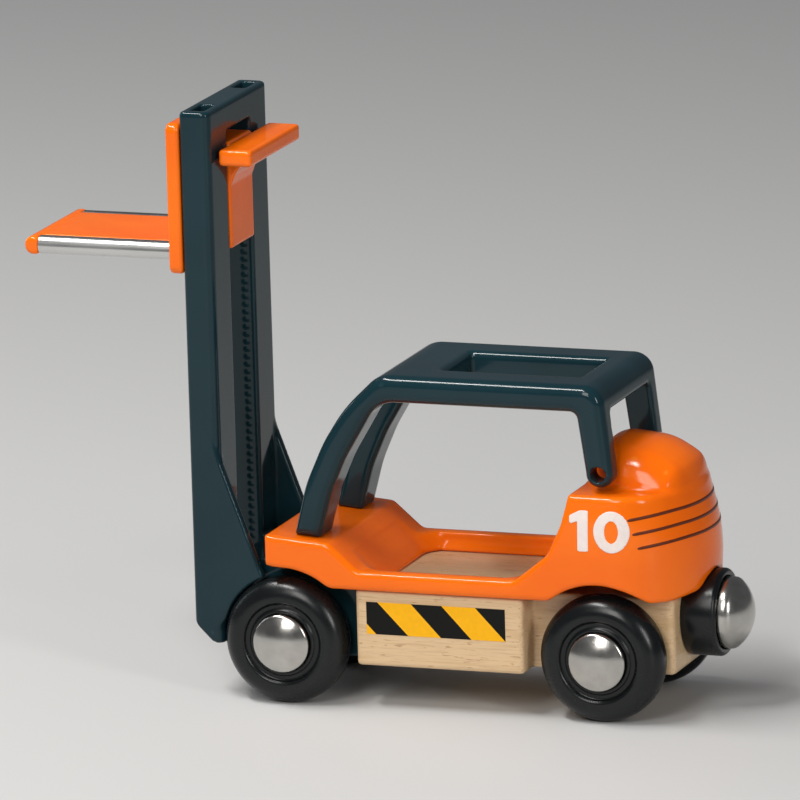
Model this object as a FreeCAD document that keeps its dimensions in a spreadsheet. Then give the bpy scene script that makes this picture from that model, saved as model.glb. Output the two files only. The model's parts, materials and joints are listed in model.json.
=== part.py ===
import FreeCAD, Part
import math
import os
import re
import Sketcher

# Toy forklift for a wooden railway, in millimetres.
# +X is forward, towards the forks; +Y is the driver's left; +Z is up.
# The origin is on the ground, below the middle of the whole toy.

Vector = FreeCAD.Vector
Rotation = FreeCAD.Rotation

# Driving dimensions: alias, value, meaning.
SIZES = [
    ("wheel_radius", 10.0, "radius of every wheel, and the height of the axles"),
    ("wheel_inner", 10.3, "half the distance between the wheels' inner faces"),
    ("wheel_width", 5.3, "width of a wheel"),
    ("axle_radius", 1.5, "radius of the steel axles"),
    ("running_gap", 0.05, "radial clearance of everything that turns"),
    ("front_axle_x", 14.75, "place of the front axle"),
    ("wheelbase", 51.7, "distance between the axles"),
    ("arch_radius", 12.0, "radius of the orange wheel arches"),
    ("cap_radius", 4.6, "radius of the hub caps"),
    ("cap_seat", 4.4, "height of the hub cap's seat above the wheel's inner face"),
    ("cap_rise", 2.7, "height of a hub cap"),
    ("base_z", 7.0, "underside of the beech block and of the mast's foot"),
    ("deck_z", 19.0, "top of the beech block, which is the cab floor"),
    ("block_front", 2.85, "front end of the beech block"),
    ("panel_rear", -24.6, "rear end of the wide part of the block"),
    ("block_rear", -47.5, "rear end of the block"),
    ("panel_half", 14.5, "half the width of the block at its side panels"),
    ("core_half", 9.6, "half the width of everything between the wheels"),
    ("mast_front", 29.95, "front face of the mast"),
    ("mast_depth", 4.85, "thickness of the mast, front to rear"),
    ("mast_half", 13.2, "half the width of the mast"),
    ("mast_top", 93.0, "height of the mast"),
    ("mast_foot", 8.7, "height of the mast's lower end"),
    ("slot_half", 5.1, "half the width of the mast's slot"),
    ("slot_low", 10.5, "lower end of the slot"),
    ("slot_high", 88.7, "upper end of the slot"),
    ("tooth_pitch", 1.2, "pitch of the ratchet notches"),
    ("tooth_low", 21.1, "height of the lowest notch"),
    ("gusset_top", 38.0, "top of the mast's gussets"),
    ("gusset_thick", 1.7, "thickness of each gusset"),
    ("foot_top", 21.9, "top of the mast's foot, under the cowl"),
    ("tongue_end", -7.0, "rear end of the foot's tongue, inside the block"),
    ("tongue_top", 12.0, "top of the tongue"),
    ("tongue_half", 7.0, "half the width of the tongue"),
    ("slide_gap", 0.15, "clearance between the mast and the carriage"),
    ("plate_depth", 2.25, "thickness of the carriage's back plate"),
    ("plate_low", 67.2, "lower edge of the back plate"),
    ("plate_high", 91.0, "upper edge of the back plate"),
    ("fork_top", 71.6, "top face of the fork platform"),
    ("fork_thick", 2.5, "thickness of the fork platform"),
    ("fork_half", 9.3, "half the width of the platform between its steel rods"),
    ("nose_front", 57.25, "front end of the fork platform"),
    ("nose_length", 2.9, "length of the rounded nose"),
    ("nose_half", 10.85, "half the width of the nose"),
    ("rod_radius", 1.45, "radius of the steel rods"),
    ("rod_y", 9.4, "distance of the rods from the middle"),
    ("rod_z", 70.25, "height of the rods"),
    ("handle_low", 69.9, "lower end of the slider in the slot"),
    ("handle_high", 86.8, "top of the lift handle"),
    ("grip_rear", 19.0, "rear face of the handle's crossbar"),
    ("grip_thick", 2.6, "height of the crossbar"),
    ("grip_half", 11.1, "half the length of the crossbar"),
    ("sill_half", 15.5, "half the width of the orange body"),
    ("body_front", 17.25, "front face of the orange body"),
    ("cowl_low", 22.3, "lower edge of the cowl's front"),
    ("cowl_high", 27.1, "top of the cowl at its front"),
    ("cowl_fold_x", 6.65, "where the cowl ends and the dash begins"),
    ("cowl_fold_z", 26.2, "height of the cowl at that fold"),
    ("sill_front", 1.85, "front end of the sills"),
    ("sill_rear", -23.6, "rear end of the sills"),
    ("sill_top", 22.0, "top of the sills"),
    ("skin", 2.0, "wall thickness of the orange body"),
    ("ledge_z", 35.9, "ledge beside the bonnet, below the cage's rear legs"),
    ("hood_mid", -39.25, "where the hood starts to round off to the rear"),
    ("pivot_x", -36.95, "place of the cage's pivots"),
    ("pivot_z", 39.0, "height of the cage's pivots"),
    ("stub_radius", 1.18, "radius of the stubs that carry the cage"),
    ("cage_half", 13.5, "half the width of the roll cage"),
    ("cage_top", 52.8, "top of the roll cage"),
    ("cage_foot", 26.8, "lower end of the cage's front legs"),
    ("rail_inner", 6.4, "half the width of the roof opening"),
    ("leg_inner", 9.5, "half the distance between the cage's rear legs"),
    ("leg_radius", 2.2, "half the width of a rear leg, and radius of its round end"),
    ("coupler_z", 15.1, "height of the coupler"),
    ("sleeve_radius", 6.85, "radius of the coupler's sleeve"),
    ("sleeve_end", -53.05, "open end of the coupler's sleeve"),
    ("magnet_radius", 5.0, "radius of the coupler's magnet"),
    ("dome_radius", 5.6, "radius of the coupler's steel cap"),
    ("coupler_tip", -57.25, "rearmost point of the steel cap"),
    ("screw_radius", 1.0, "radius of every screw's shank"),
    ("screw_head", 2.0, "radius of every screw's head"),
    ("screw_sink", 1.1, "depth of every screw head's seat"),
]

DOC = FreeCAD.newDocument("toy_forklift")
SHEET = DOC.addObject("Spreadsheet::Sheet", "dims")
for row, (alias, number, meaning) in enumerate(SIZES, start=1):
    SHEET.set(f"A{row}", str(number))
    SHEET.setAlias(f"A{row}", alias)
    SHEET.set(f"B{row}", meaning)
DOC.recompute()

ALIASES = re.compile(r"\b(" + "|".join(alias for alias, _, _ in SIZES) + r")\b")
NODES = []


# ---------------------------------------------------------------- helpers

def size(alias):
    """The sheet's value of one driving dimension."""
    return float(SHEET.get(alias))


def bind(thing, prop, formula):
    """Bind a property to a formula written with the sheet's aliases."""
    thing.setExpression(prop, ALIASES.sub(r"dims.\1", formula))


def new_body(label):
    body = DOC.addObject("PartDesign::Body", label)
    body.Label = label
    NODES.append(body)
    return body


def new_feature(label, shape):
    """A piece whose shape comes straight from Part's own functions."""
    feature = DOC.addObject("Part::Feature", label)
    feature.Label = label
    feature.Shape = shape
    NODES.append(feature)
    return feature


def new_sketch(body, name, plane, offset="0"):
    """An empty sketch on one of the body's origin planes, moved along the plane's normal."""
    sketch = body.newObject("Sketcher::SketchObject", name)
    support = next(f for f in body.Origin.OriginFeatures if f.Role == plane + "_Plane")
    sketch.AttachmentSupport = [(support, "")]
    sketch.MapMode = "FlatFace"
    bind(sketch, "AttachmentOffset.Base.z", offset)
    return sketch


def pin_point(sketch, edge, end, across, up):
    """Hold one end of a sketch edge at two formulas."""
    for kind, formula in (("DistanceX", across), ("DistanceY", up)):
        index = sketch.addConstraint(Sketcher.Constraint(kind, -1, 1, edge, end, 1.0))
        bind(sketch, f"Constraints[{index}]", formula)


def polygon(sketch, corners):
    """A closed outline through corners, each a pair of formulas."""
    first = sketch.GeometryCount
    count = len(corners)
    ring = [Vector(10 * math.cos(math.tau * i / count), 10 * math.sin(math.tau * i / count), 0)
            for i in range(count)]
    for i in range(count):
        sketch.addGeometry(Part.LineSegment(ring[i], ring[(i + 1) % count]), False)
    for i in range(count):
        sketch.addConstraint(Sketcher.Constraint("Coincident", first + i, 2, first + (i + 1) % count, 1))
    for i, (across, up) in enumerate(corners):
        pin_point(sketch, first + i, 1, across, up)


def rectangle(sketch, left, right, low, high):
    polygon(sketch, [(left, low), (right, low), (right, high), (left, high)])


def circle(sketch, across, up, radius):
    edge = sketch.addGeometry(Part.Circle(Vector(0, 0, 0), Vector(0, 0, 1), 1.0), False)
    pin_point(sketch, edge, 3, across, up)
    index = sketch.addConstraint(Sketcher.Constraint("Radius", edge, 1.0))
    bind(sketch, f"Constraints[{index}]", radius)


def pad(body, sketch, length, both_ways=True):
    """Grow material from a sketch, to both sides of it or along its normal."""
    feature = body.newObject("PartDesign::Pad", sketch.Name + "_pad")
    feature.Profile = sketch
    feature.SideType = "Symmetric" if both_ways else "One side"
    bind(feature, "Length", length)
    sketch.Visibility = False
    DOC.recompute()
    return feature


def pocket(body, sketch, length, both_ways=True, reverse=False):
    """Cut a sketch out of the body, and make sure that it did cut."""
    before = body.Shape.Volume
    feature = body.newObject("PartDesign::Pocket", sketch.Name + "_cut")
    feature.Profile = sketch
    feature.SideType = "Symmetric" if both_ways else "One side"
    feature.Reversed = reverse
    bind(feature, "Length", length)
    DOC.recompute()
    if body.Shape.Volume >= before - 1e-6:
        raise RuntimeError(feature.Name + " cuts nothing")
    return feature


def revolve(body, sketch, axis):
    feature = body.newObject("PartDesign::Revolution", sketch.Name + "_turned")
    feature.Profile = sketch
    feature.ReferenceAxis = (sketch, [axis])
    feature.Angle = 360
    DOC.recompute()
    return feature


def soften(body, radius, wanted, kind="Fillet"):
    """Round or bevel every edge of the body whose middle passes the test wanted(edge, middle)."""
    base = body.Tip
    names = []
    for i, edge in enumerate(base.Shape.Edges, start=1):
        middle = edge.valueAt((edge.FirstParameter + edge.LastParameter) / 2)
        if wanted(edge, middle):
            names.append(f"Edge{i}")
    if not names:
        raise RuntimeError(body.Label + ": no edge to soften")
    feature = body.newObject("PartDesign::" + kind, f"{body.Label}_{kind.lower()}_{len(body.Group)}")
    feature.Base = (base, names)
    bind(feature, "Radius" if kind == "Fillet" else "Size", radius)
    DOC.recompute()
    if "Invalid" in feature.State or feature.Shape.isNull():
        raise RuntimeError(body.Label + ": the softened edges fail")
    return feature


def runs_along(edge, direction):
    """True for a straight edge along a direction."""
    if not isinstance(edge.Curve, Part.Line):
        return False
    return abs(edge.tangentAt(edge.FirstParameter).dot(direction)) > 0.999


X_WAY, Y_WAY, Z_WAY = Vector(1, 0, 0), Vector(0, 1, 0), Vector(0, 0, 1)


# ---------------------------------------------------------------- wheels and axles

def make_wheel(label, x_formula, side):
    """A moulded wheel: the profile is radius across, height above the inner face up."""
    body = new_body(label)
    sketch = new_sketch(body, label + "_profile", "XY")
    polygon(sketch, [
        ("axle_radius", "-0.4"), ("axle_radius + 1.6", "-0.4"), ("axle_radius + 2.0", "0"),
        ("wheel_radius", "0"), ("wheel_radius", "wheel_width"),
        ("cap_radius + 2.5", "wheel_width"), ("cap_radius + 2.1", "cap_seat - 0.5"),
        ("cap_radius + 0.9", "cap_seat - 0.5"), ("cap_radius + 0.7", "cap_seat + 0.5"),
        ("cap_radius + 0.05", "cap_seat + 0.5"), ("cap_radius + 0.05", "cap_seat"),
        ("axle_radius", "cap_seat")])
    revolve(body, sketch, "V_Axis")
    rim = size("wheel_radius")
    soften(body, "2.5", lambda edge, middle: middle.y > 4 and math.hypot(middle.x, middle.z) > rim - 0.1
           and not runs_along(edge, Y_WAY))
    soften(body, "1.2", lambda edge, middle: abs(middle.y) < 0.01
           and math.hypot(middle.x, middle.z) > rim - 0.1 and not runs_along(edge, Y_WAY))
    place_on_axle(body, x_formula, side, "wheel_inner")


def make_hub_cap(label, x_formula, side):
    """A domed steel cap: a slice of a ball on a short round skirt."""
    rise, skirt = size("cap_rise"), 1.4
    radius = size("cap_radius")
    ball = (radius ** 2 + (rise - skirt) ** 2) / (2 * (rise - skirt))
    dome = DOC.addObject("Part::Sphere", label + "_ball")
    dome.Radius = ball
    dome.Placement = FreeCAD.Placement(Vector(0, rise - ball, 0), Rotation(X_WAY, 0))
    skirt_solid = DOC.addObject("Part::Cylinder", label + "_skirt")
    bind(skirt_solid, "Radius", "cap_radius")
    bind(skirt_solid, "Height", "cap_rise")
    skirt_solid.Placement = FreeCAD.Placement(Vector(0, 0, 0), Rotation(X_WAY, -90))
    cap = DOC.addObject("Part::Common", label)
    cap.Base = dome
    cap.Tool = skirt_solid
    cap.Label = label
    NODES.append(cap)
    place_on_axle(cap, x_formula, side, "wheel_inner + cap_seat")


def make_axle(label, x_formula):
    """A plain steel axle, pressed into both of its wheels."""
    body = new_body(label)
    sketch = new_sketch(body, label + "_section", "XZ")
    circle(sketch, x_formula, "wheel_radius", "axle_radius")
    pad(body, sketch, "2 * (wheel_inner + cap_seat)")
    soften(body, "0.3", lambda edge, middle: not runs_along(edge, Y_WAY), kind="Chamfer")


def place_on_axle(piece, x_formula, side, out_formula):
    """Put a wheel or cap on its axle; its own +Y points outwards."""
    bind(piece, "Placement.Base.x", x_formula)
    bind(piece, "Placement.Base.y", f"{side} * ({out_formula})")
    bind(piece, "Placement.Base.z", "wheel_radius")
    piece.Placement.Rotation = Rotation(Z_WAY, 0 if side > 0 else 180)


def make_wheelsets():
    for end, x_formula in (("front", "front_axle_x"), ("rear", "front_axle_x - wheelbase")):
        make_axle(end + "_axle", x_formula)
        for name, side in (("left", 1), ("right", -1)):
            make_wheel(f"wheel_{end}_{name}", x_formula, side)
            make_hub_cap(f"hub_cap_{end}_{name}", x_formula, side)


# ---------------------------------------------------------------- beech block

BODY_SCREW_Y = 5.5
FRONT_SCREW_X, REAR_SCREW_X = 7.6, -41.3
MAST_SCREW_X, MAST_SCREW_Y = -2.6, 4.0


def make_block():
    """The beech chassis: wide side panels ahead of the rear wheels, and a narrow tail."""
    body = new_body("chassis_block")
    plan = new_sketch(body, "block_plan", "XY", "base_z")
    polygon(plan, [
        ("block_front", "-panel_half"), ("block_front", "panel_half"), ("panel_rear", "panel_half"),
        ("panel_rear", "core_half"), ("block_rear", "core_half"), ("block_rear", "-core_half"),
        ("panel_rear", "-core_half"), ("panel_rear", "-panel_half")])
    pad(body, plan, "deck_z - base_z", both_ways=False)
    soften(body, "0.7", lambda edge, middle: runs_along(edge, Z_WAY))
    soften(body, "0.4", lambda edge, middle: abs(middle.z - size("base_z")) < 0.01)
    mortise = new_sketch(body, "block_mortise", "XY", "base_z")
    rectangle(mortise, "tongue_end - 0.1", "block_front + 2", "-tongue_half - 0.05", "tongue_half + 0.05")
    pocket(body, mortise, "tongue_top + 0.05 - base_z", both_ways=False, reverse=True)
    axle = new_sketch(body, "block_axle_bore", "XZ")
    circle(axle, "front_axle_x - wheelbase", "wheel_radius", "axle_radius + running_gap")
    pocket(body, axle, "4 * core_half")
    screws = new_sketch(body, "block_screw_holes", "XY", "base_z - 1")
    for side in (-1, 1):
        circle(screws, str(REAR_SCREW_X), str(side * BODY_SCREW_Y), "screw_radius")
    pocket(body, screws, "deck_z - base_z + 2", both_ways=False, reverse=True)
    heads = new_sketch(body, "block_screw_heads", "XY", "base_z - 1")
    for side in (-1, 1):
        circle(heads, str(REAR_SCREW_X), str(side * BODY_SCREW_Y), "screw_head + 0.1")
    pocket(body, heads, "1 + screw_sink", both_ways=False, reverse=True)
    pilots = new_sketch(body, "block_pilot_holes", "XY", "tongue_top")
    for side in (-1, 1):
        circle(pilots, str(MAST_SCREW_X), str(side * MAST_SCREW_Y), "screw_radius")
    pocket(body, pilots, "5", both_ways=False, reverse=True)
    coupler = new_sketch(body, "block_coupler_hole", "YZ", "block_rear - 1")
    circle(coupler, "0", "coupler_z", "screw_radius")
    pocket(body, coupler, "8", both_ways=False, reverse=True)


# ---------------------------------------------------------------- mast

def make_mast():
    """The mast with its slot, gussets and ratchet notches, and the foot that holds the front axle."""
    body = new_body("mast")
    column = new_sketch(body, "mast_column", "YZ", "mast_front - mast_depth")
    rectangle(column, "-mast_half", "mast_half", "mast_foot", "mast_top")
    pad(body, column, "mast_depth", both_ways=False)
    front, rear = size("mast_front"), size("mast_front") - size("mast_depth")
    foot, top = size("mast_foot"), size("mast_top")
    soften(body, "3.1", lambda edge, middle: abs(middle.z - foot) < 0.01 and abs(middle.x - front) < 0.01,
           kind="Chamfer")
    soften(body, "1.2", lambda edge, middle: runs_along(edge, Z_WAY) and middle.x < rear + 0.1)
    soften(body, "0.6", lambda edge, middle: runs_along(edge, Z_WAY) and middle.x > front - 0.1)
    soften(body, "0.6", lambda edge, middle: abs(middle.z - top) < 0.01)
    gusset = new_sketch(body, "mast_gusset", "XZ")
    polygon(gusset, [
        ("mast_front - mast_depth + 1.5", "gusset_top + 4"), ("mast_front - mast_depth", "gusset_top"),
        ("front_axle_x + 3.4", "foot_top - 2.9"), ("mast_front - mast_depth + 1.5", "mast_foot + 2")])
    pad(body, gusset, "2 * mast_half")
    between = new_sketch(body, "mast_between_gussets", "XZ")
    rectangle(between, "block_front", "mast_front - mast_depth", "mast_foot", "gusset_top + 5")
    pocket(body, between, "2 * (mast_half - gusset_thick)")
    room = new_sketch(body, "mast_wheel_room", "XZ")
    circle(room, "front_axle_x", "wheel_radius", "wheel_radius + 0.3")
    pocket(body, room, "2 * mast_half + 2")
    core = new_sketch(body, "mast_core", "XZ")
    polygon(core, [
        ("block_front", "base_z"), ("mast_front - mast_depth + 1", "base_z"),
        ("mast_front - mast_depth + 1", "foot_top"), ("block_front + 3.6", "foot_top"),
        ("block_front + 3.6", "deck_z"), ("block_front", "deck_z")])
    pad(body, core, "2 * core_half")
    tongue = new_sketch(body, "mast_tongue", "XZ")
    rectangle(tongue, "tongue_end", "block_front + 0.5", "base_z", "tongue_top")
    pad(body, tongue, "2 * tongue_half")
    slot = new_sketch(body, "mast_slot", "YZ", "mast_front - mast_depth - 0.6")
    rectangle(slot, "-slot_half", "slot_half", "slot_low", "slot_high")
    pocket(body, slot, "mast_depth + 2", both_ways=False, reverse=True)
    bore = new_sketch(body, "mast_axle_bore", "XZ")
    circle(bore, "front_axle_x", "wheel_radius", "axle_radius + running_gap")
    pocket(body, bore, "4 * mast_half")
    holes = new_sketch(body, "mast_screw_holes", "XY", "base_z - 1")
    heads = new_sketch(body, "mast_screw_heads", "XY", "base_z - 1")
    for x, y in ((FRONT_SCREW_X, BODY_SCREW_Y), (MAST_SCREW_X, MAST_SCREW_Y)):
        for side in (-1, 1):
            circle(holes, str(x), str(side * y), "screw_radius")
            circle(heads, str(x), str(side * y), "screw_head + 0.1")
    pocket(body, holes, "foot_top - base_z + 2", both_ways=False, reverse=True)
    pocket(body, heads, "1 + screw_sink", both_ways=False, reverse=True)
    recess = new_sketch(body, "mast_top_recess", "XY", "mast_top")
    for side in (-1, 1):
        rectangle(recess, "mast_front - mast_depth + 1.3", "mast_front - 1.3",
                  f"{side} * (slot_half + 1.6)", f"{side} * (mast_half - 1.6)")
    pocket(body, recess, "1.6", both_ways=False)
    notch = new_sketch(body, "mast_notch", "XZ")
    rectangle(notch, "mast_front - 3.8", "mast_front - 2.6", "tooth_low", "tooth_low + 0.6 * tooth_pitch")
    cut = pocket(body, notch, "2 * slot_half + 0.9")
    rack = body.newObject("PartDesign::LinearPattern", "mast_rack")
    rack.Originals = [cut]
    rack.Direction = (notch, ["V_Axis"])
    steps = math.floor((size("slot_high") - 2 - size("tooth_low")) / size("tooth_pitch"))
    bind(rack, "Length", f"{steps} * tooth_pitch")
    rack.Occurrences = steps + 1
    body.Tip = rack
    DOC.recompute()


# ---------------------------------------------------------------- fork carriage

PLATE_BACK = "mast_front + slide_gap"
PLATE_FACE = PLATE_BACK + " + plate_depth"
ROD_LENGTH = "nose_front - nose_length + 0.6 - mast_front - slide_gap - plate_depth"
CARRIAGE_SCREW_HEIGHTS = ("fork_top + 4", "plate_high - 7")


def make_carriage():
    """The back plate and the platform, with grooves for the steel rods."""
    body = new_body("fork_carriage")
    plate = new_sketch(body, "plate_outline", "YZ", PLATE_BACK)
    rectangle(plate, "-mast_half", "mast_half", "plate_low", "plate_high")
    pad(body, plate, "plate_depth", both_ways=False)
    top, low, back = size("plate_high"), size("plate_low"), size("mast_front") + size("slide_gap")
    soften(body, "1.0", lambda edge, middle: runs_along(edge, X_WAY))
    soften(body, "0.7", lambda edge, middle: middle.x > back + 0.1
           and (abs(middle.z - top) < 0.01 or abs(middle.z - low) < 0.01))
    deck = new_sketch(body, "fork_deck", "XZ")
    rectangle(deck, PLATE_BACK + " + 1", "nose_front - 1", "fork_top - fork_thick", "fork_top")
    pad(body, deck, "2 * fork_half")
    nose = new_sketch(body, "fork_nose", "XZ")
    rectangle(nose, "nose_front - nose_length", "nose_front", "rod_z - rod_radius", "rod_z + rod_radius")
    pad(body, nose, "2 * nose_half")
    tip = size("nose_front")
    soften(body, "1.4", lambda edge, middle: runs_along(edge, Y_WAY) and abs(middle.x - tip) < 0.01)
    grooves = new_sketch(body, "rod_grooves", "YZ", PLATE_FACE)
    screws = new_sketch(body, "plate_screw_holes", "YZ", "mast_front")
    heads = new_sketch(body, "plate_screw_heads", "YZ", PLATE_FACE + " - screw_sink")
    for side in (-1, 1):
        circle(grooves, f"{side} * rod_y", "rod_z", "rod_radius")
    for height in CARRIAGE_SCREW_HEIGHTS:
        circle(screws, "0", height, "screw_radius")
        circle(heads, "0", height, "screw_head + 0.1")
    pocket(body, grooves, ROD_LENGTH, both_ways=False, reverse=True)
    pocket(body, screws, "6", both_ways=False, reverse=True)
    pocket(body, heads, "2", both_ways=False, reverse=True)


def make_rods():
    """Two steel rods that line the platform's edges."""
    for name, side in (("left", 1), ("right", -1)):
        body = new_body("fork_rod_" + name)
        sketch = new_sketch(body, body.Label + "_section", "YZ", PLATE_FACE)
        circle(sketch, f"{side} * rod_y", "rod_z", "rod_radius")
        pad(body, sketch, ROD_LENGTH, both_ways=False)


def make_handle():
    """The lift handle: a slider in the slot, and a crossbar with a web behind the mast."""
    body = new_body("lift_handle")
    slider = new_sketch(body, "handle_slider", "YZ", "mast_front - mast_depth - 0.3")
    rectangle(slider, "-slot_half + 0.1", "slot_half - 0.1", "handle_low", "handle_high")
    pad(body, slider, "mast_depth + slide_gap + 0.3", both_ways=False)
    web = new_sketch(body, "handle_web", "XZ")
    polygon(web, [
        ("mast_front - mast_depth + 0.5", "handle_high - 7.2"),
        ("mast_front - mast_depth - 0.3", "handle_high - 7.2"),
        ("mast_front - mast_depth - 0.9", "handle_high - 5.3"),
        ("mast_front - mast_depth - 2.1", "handle_high - 3.7"),
        ("mast_front - mast_depth - 3.9", "handle_high - grip_thick"),
        ("mast_front - mast_depth - 3.9", "handle_high - 0.3"),
        ("mast_front - mast_depth + 0.5", "handle_high - 0.3")])
    pad(body, web, "2 * slot_half - 0.2")
    grip = new_sketch(body, "handle_grip", "XZ")
    rectangle(grip, "grip_rear", "mast_front - mast_depth - 0.7",
              "handle_high - grip_thick", "handle_high")
    pad(body, grip, "2 * grip_half")
    end, rear = size("grip_half"), size("grip_rear")
    soften(body, "0.6", lambda edge, middle: abs(abs(middle.y) - end) < 0.01)
    soften(body, "0.5", lambda edge, middle: runs_along(edge, Y_WAY) and middle.x < rear + 0.01)
    room = new_sketch(body, "spring_room", "XZ", "slot_half - 0.1")
    rectangle(room, "mast_front - 3.9", "mast_front - 2.5", "handle_low + 2", "handle_low + 11")
    pocket(body, room, "1.2", both_ways=False)
    holes = new_sketch(body, "handle_pilot_holes", "YZ", PLATE_BACK + " + 1")
    for height in CARRIAGE_SCREW_HEIGHTS:
        circle(holes, "0", height, "screw_radius")
    pocket(body, holes, "5.2", both_ways=False)


def make_click_spring():
    """A leaf spring in the slider's side; its nose clicks over the mast's notches."""
    body = new_body("click_spring")
    sketch = new_sketch(body, "spring_side", "YZ", "mast_front - 3.8")
    seat = "-slot_half + 1.3"
    polygon(sketch, [
        (seat, "handle_low + 2"), (seat + " - 0.35", "handle_low + 2"),
        (seat + " - 0.35", "handle_low + 4.5"), (seat + " - 0.95", "handle_low + 9.3"),
        (seat + " - 1.2", "handle_low + 10.1"), (seat + " - 0.85", "handle_low + 10.6"),
        (seat + " - 0.6", "handle_low + 9.2"), (seat, "handle_low + 4.6")])
    pad(body, sketch, "1.2", both_ways=False)


# ---------------------------------------------------------------- orange body

def profile_slab(points, half):
    """A slab with a side profile of (x, z) points, half to each side of the middle."""
    wire = Part.makePolygon([Vector(x, -half, z) for x, z in points + points[:1]])
    return Part.Face(wire).extrude(Vector(0, 2 * half, 0))


def round_ended(height, front, middle, half, depth):
    """A plan outline: straight in front and at the sides, half an ellipse behind."""
    steps = 12
    ellipse = [Vector(middle - depth * math.sin(math.pi * i / steps), half * math.cos(math.pi * i / steps),
                      height) for i in range(steps + 1)]
    curve = Part.BSplineCurve()
    curve.interpolate(Points=ellipse, InitialTangent=Vector(-1, 0, 0), FinalTangent=Vector(1, 0, 0))
    left, right = Vector(front, half, height), Vector(front, -half, height)
    return Part.Wire([Part.makeLine(right, left), Part.makeLine(left, ellipse[0]), curve.toShape(),
                      Part.makeLine(ellipse[-1], right)])


def hood_solid(inset, top):
    """The hood below the ledge, its walls moved in by an inset."""
    fold, high = size("sill_top"), size("ledge_z")
    sections = [(fold - 3, 1.7, 15.5, 12.1), (fold, 0.0, 15.5, 12.3), (fold + 4.4, -5.5, 15.5, 12.2),
                (fold + 6.2, -6.5, 15.45, 12.0), (fold + 8.2, -7.5, 15.3, 11.65),
                (fold + 11.0, -8.2, 15.1, 10.95), (high, -9.0, 14.9, 10.0)]
    rear = size("sill_rear")
    wires = [round_ended(z, rear + dx - 1.1 * inset, size("hood_mid"), half - inset, depth - inset)
             for z, dx, half, depth in sections]
    solid = Part.makeLoft(wires, True, True)
    lid = Part.makeBox(60, 40, top - fold + 4, Vector(-70, -20, fold - 4))
    return solid.common(lid) if top < high else solid


def bonnet_solid(inset):
    """The narrow domed bonnet between the cage's rear legs, its walls moved in by an inset."""
    ledge, foot = size("ledge_z"), size("sill_rear") - 9
    sections = [(ledge - 0.3, 0.0, 16.7, 9.2), (ledge + 2.7, 0.8, 15.6, 9.2), (ledge + 4.7, 1.5, 13.9, 9.1),
                (ledge + 5.8, 1.9, 12.2, 8.7), (ledge + 6.5, 2.2, 10.3, 8.0), (ledge + 7.0, 2.6, 8.3, 6.6),
                (ledge + 7.3, 3.0, 6.4, 4.8)]
    wires = []
    for z, front, rear, half in sections:
        start, end = foot - front - 0.9 * inset, foot - rear + inset
        middle = start - 0.3 * (start - end)
        wires.append(round_ended(z - inset, start, middle, half - inset, middle - end))
    return Part.makeLoft(wires[:-3] if inset else wires, True, True)


def make_cab_body():
    """The orange body: cowl, dash, sills and hood, one thin-walled moulding over the block."""
    deck, fold_x, fold_z = size("deck_z") + 0.05, size("cowl_fold_x"), size("cowl_fold_z")
    front, half, skin = size("body_front"), size("sill_half"), size("skin")
    sill_front, sill_rear, sill_top = size("sill_front"), size("sill_rear"), size("sill_top")
    tub = profile_slab([(front, size("cowl_low")), (front, size("cowl_high")), (fold_x, fold_z),
                        (sill_front, sill_top), (sill_rear - 1, sill_top), (sill_rear - 1, deck),
                        (front - 5, deck), (front - 5, size("cowl_low"))], half)
    shell = tub.fuse([hood_solid(0, size("ledge_z")), bonnet_solid(0)]).removeSplitter()
    dash_run = (sill_top - deck + 0.1) * (fold_x - sill_front) / (fold_z - sill_top)
    opening = profile_slab([(sill_front + 1.2, sill_top + 1), (sill_front - dash_run, deck - 0.1),
                            (sill_rear + 1.7, deck - 0.1), (sill_rear - 0.4, sill_top + 1)], half - 2.2)
    cowl_room = profile_slab([(front - skin, deck - 1), (front - skin, fold_z - skin + 0.9),
                              (fold_x + 1.5, fold_z - skin + 0.3), (sill_front - 1, deck - 1)],
                             half - skin)
    hood_room = hood_solid(skin, size("ledge_z") - skin)
    coupler_room = Part.makeCylinder(size("sleeve_radius") + 0.15, 20,
                                     Vector(size("block_rear"), 0, size("coupler_z")), Vector(-1, 0, 0))
    shell = shell.cut([opening, cowl_room, hood_room, bonnet_solid(skin), coupler_room])
    for axle_x in (size("front_axle_x"), size("front_axle_x") - size("wheelbase")):
        shell = shell.cut(Part.makeCylinder(size("arch_radius"), 40,
                                            Vector(axle_x, -20, size("wheel_radius")), Y_WAY))
    posts, bores = [], []
    for x, low, high, deep in ((FRONT_SCREW_X, size("foot_top") + 0.05, fold_z - 2, 2.3),
                               (REAR_SCREW_X, deck, size("ledge_z") - 1, 7)):
        for side in (-1, 1):
            spot = Vector(x, side * BODY_SCREW_Y, low)
            posts.append(Part.makeCylinder(2.4, high - low, spot))
            bores.append(Part.makeCylinder(size("screw_radius"), deep, spot))
    stub = Part.makeCylinder(size("stub_radius"), 2 * size("cage_half") - 2.0,
                             Vector(size("pivot_x"), 1.0 - size("cage_half"), size("pivot_z")), Y_WAY)
    shell = shell.fuse(posts + [stub.cut(bonnet_solid(skin))]).cut(bores).removeSplitter()
    new_feature("cab_body", shell)


# ---------------------------------------------------------------- roll cage

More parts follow.
